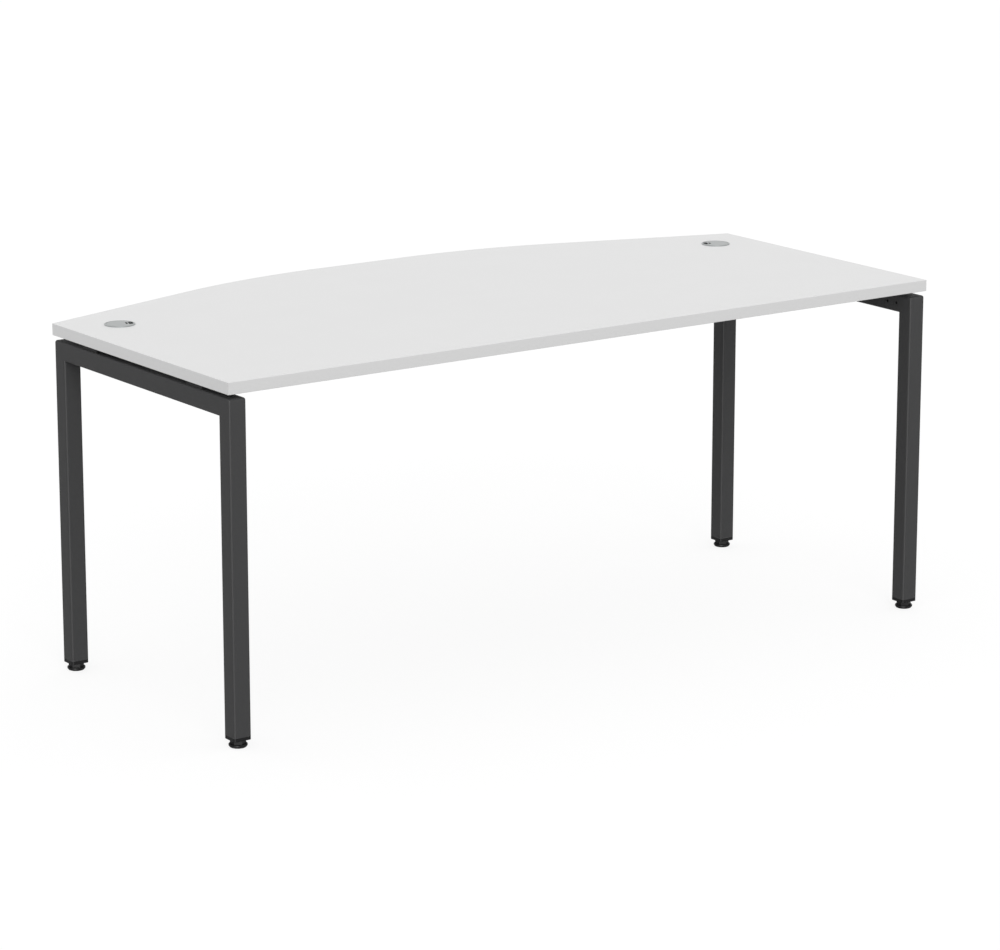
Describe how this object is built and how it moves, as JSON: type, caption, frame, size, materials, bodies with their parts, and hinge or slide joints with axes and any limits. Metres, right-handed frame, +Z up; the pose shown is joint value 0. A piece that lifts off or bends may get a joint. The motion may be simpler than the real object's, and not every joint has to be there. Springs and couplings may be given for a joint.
{
  "type": "executive desk",
  "caption": "Free-standing desk with a bowed far edge, on two inverted-U tube frames with screw-in levelling feet; round grommets with turning covers pass cables through the top.",
  "frame": {"origin": "on the floor, under the middle of the whole desk", "axes": "+X along the desk's length to the user's right, +Y away from the user towards the bowed far edge, +Z up"},
  "size_m": [1.8, 0.8902, 0.7521],
  "materials": {
    "laminate": "light grey melamine laminate, fine matt texture",
    "edge_band_plastic": "light grey edge band, matt",
    "powder_coat": "anthracite powder coat, fine orange peel",
    "black_plastic": "black moulded plastic, satin",
    "spacer_plastic": "dark grey moulded plastic, matt",
    "zinc_plated_steel": "bright zinc plate",
    "satin_grommet_metal": "satin grey metal"
  },
  "bodies": {
    "desk": {"bowed_edge_band": "edge_band_plastic", "far_beam": "powder_coat", "far_beam_left_bracket": "powder_coat", "far_beam_left_bracket_far_bolt": "zinc_plated_steel", "far_beam_left_bracket_near_bolt": "zinc_plated_steel", "far_beam_left_screw": "zinc_plated_steel", "far_beam_middle_screw": "zinc_plated_steel", "far_beam_right_bracket": "powder_coat", "far_beam_right_bracket_far_bolt": "zinc_plated_steel", "far_beam_right_bracket_near_bolt": "zinc_plated_steel", "far_beam_right_screw": "zinc_plated_steel", "left_edge_band": "edge_band_plastic", "left_far_leg": "powder_coat", "left_far_leg_cap": "black_plastic", "left_far_leg_nut": "zinc_plated_steel", "left_far_spacer": "spacer_plastic", "left_far_spacer_bolt": "zinc_plated_steel", "left_grommet_liner": "satin_grommet_metal", "left_near_leg": "powder_coat", "left_near_leg_cap": "black_plastic", "left_near_leg_nut": "zinc_plated_steel", "left_near_spacer": "spacer_plastic", "left_near_spacer_bolt": "zinc_plated_steel", "left_top_rail": "powder_coat", "near_beam": "powder_coat", "near_beam_left_bracket": "powder_coat", "near_beam_left_bracket_far_bolt": "zinc_plated_steel", "near_beam_left_bracket_near_bolt": "zinc_plated_steel", "near_beam_left_screw": "zinc_plated_steel", "near_beam_middle_screw": "zinc_plated_steel", "near_beam_right_bracket": "powder_coat", "near_beam_right_bracket_far_bolt": "zinc_plated_steel", "near_beam_right_bracket_near_bolt": "zinc_plated_steel", "near_beam_right_screw": "zinc_plated_steel", "near_edge_band": "edge_band_plastic", "right_edge_band": "edge_band_plastic", "right_far_leg": "powder_coat", "right_far_leg_cap": "black_plastic", "right_far_leg_nut": "zinc_plated_steel", "right_far_spacer": "spacer_plastic", "right_far_spacer_bolt": "zinc_plated_steel", "right_grommet_liner": "satin_grommet_metal", "right_near_leg": "powder_coat", "right_near_leg_cap": "black_plastic", "right_near_leg_nut": "zinc_plated_steel", "right_near_spacer": "spacer_plastic", "right_near_spacer_bolt": "zinc_plated_steel", "right_top_rail": "powder_coat", "tabletop_core": "laminate"},
    "left_near_stud": {"left_near_leveller_stud": "zinc_plated_steel"},
    "left_near_foot": {"left_near_leveller_base": "black_plastic"},
    "left_far_stud": {"left_far_leveller_stud": "zinc_plated_steel"},
    "left_far_foot": {"left_far_leveller_base": "black_plastic"},
    "right_near_stud": {"right_near_leveller_stud": "zinc_plated_steel"},
    "right_near_foot": {"right_near_leveller_base": "black_plastic"},
    "right_far_stud": {"right_far_leveller_stud": "zinc_plated_steel"},
    "right_far_foot": {"right_far_leveller_base": "black_plastic"},
    "left_cover": {"left_grommet_cover": "satin_grommet_metal"},
    "right_cover": {"right_grommet_cover": "satin_grommet_metal"}
  },
  "joints": [
    {"name": "left_near_leveller_travel", "type": "slide", "parent": "desk", "child": "left_near_stud", "axis": [0, 0, -1], "range_m": [0, 0.015]},
    {"name": "left_near_leveller_turn", "type": "hinge", "parent": "left_near_stud", "child": "left_near_foot", "pos_m": [-0.8775, -0.42257, 0.008], "axis": [0, 0, -1], "range_deg": [0, 3600]},
    {"name": "left_far_leveller_travel", "type": "slide", "parent": "desk", "child": "left_far_stud", "axis": [0, 0, -1], "range_m": [0, 0.015]},
    {"name": "left_far_leveller_turn", "type": "hinge", "parent": "left_far_stud", "child": "left_far_foot", "pos_m": [-0.8775, 0.23243, 0.008], "axis": [0, 0, -1], "range_deg": [0, 3600]},
    {"name": "right_near_leveller_travel", "type": "slide", "parent": "desk", "child": "right_near_stud", "axis": [0, 0, -1], "range_m": [0, 0.015]},
    {"name": "right_near_leveller_turn", "type": "hinge", "parent": "right_near_stud", "child": "right_near_foot", "pos_m": [0.8775, -0.42257, 0.008], "axis": [0, 0, -1], "range_deg": [0, 3600]},
    {"name": "right_far_leveller_travel", "type": "slide", "parent": "desk", "child": "right_far_stud", "axis": [0, 0, -1], "range_m": [0, 0.015]},
    {"name": "right_far_leveller_turn", "type": "hinge", "parent": "right_far_stud", "child": "right_far_foot", "pos_m": [0.8775, 0.23243, 0.008], "axis": [0, 0, -1], "range_deg": [0, 3600]},
    {"name": "left_cover_turn", "type": "hinge", "parent": "desk", "child": "left_cover", "pos_m": [-0.791, 0.16353, 0.751], "axis": [0, 0, 1], "continuous": true},
    {"name": "right_cover_turn", "type": "hinge", "parent": "desk", "child": "right_cover", "pos_m": [0.791, 0.16353, 0.751], "axis": [0, 0, 1], "continuous": true}
  ],
  "couplings": [
    {"joint": "left_near_leveller_turn", "follows": "left_near_leveller_travel", "rad_per_m": 4188.8},
    {"joint": "left_far_leveller_turn", "follows": "left_far_leveller_travel", "rad_per_m": 4188.8},
    {"joint": "right_near_leveller_turn", "follows": "right_near_leveller_travel", "rad_per_m": 4188.8},
    {"joint": "right_far_leveller_turn", "follows": "right_far_leveller_travel", "rad_per_m": 4188.8}
  ]
}
